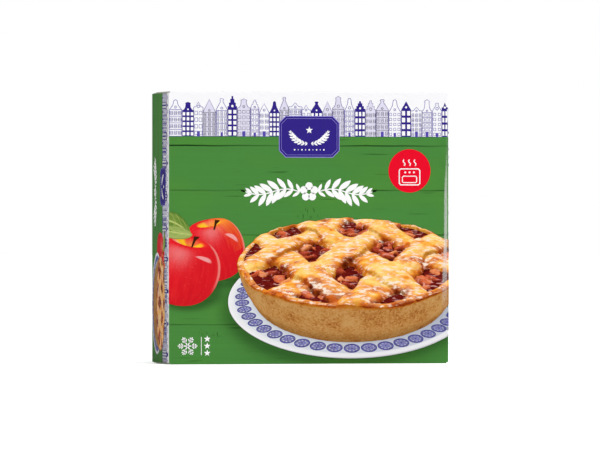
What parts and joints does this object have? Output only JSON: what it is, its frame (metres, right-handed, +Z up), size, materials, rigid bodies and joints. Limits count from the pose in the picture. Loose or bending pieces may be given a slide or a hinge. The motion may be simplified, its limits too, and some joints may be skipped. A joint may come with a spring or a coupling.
{
  "type": "frozen apple pie carton",
  "caption": "Shut upright carton of coated folding board for a round frozen apple pie, with a printed front, wrapped side panels and flat glued closures at top and bottom.",
  "frame": {"origin": "middle of the carton's base", "axes": "+X across the front panel, +Y from the front panel to the back panel, +Z up"},
  "size_m": [0.23, 0.06, 0.217],
  "materials": {
    "printed_board": "satin coated folding board with a printed green, white and blue surface"
  },
  "bodies": {
    "root": {"carton": "printed_board"}
  },
  "joints": []
}
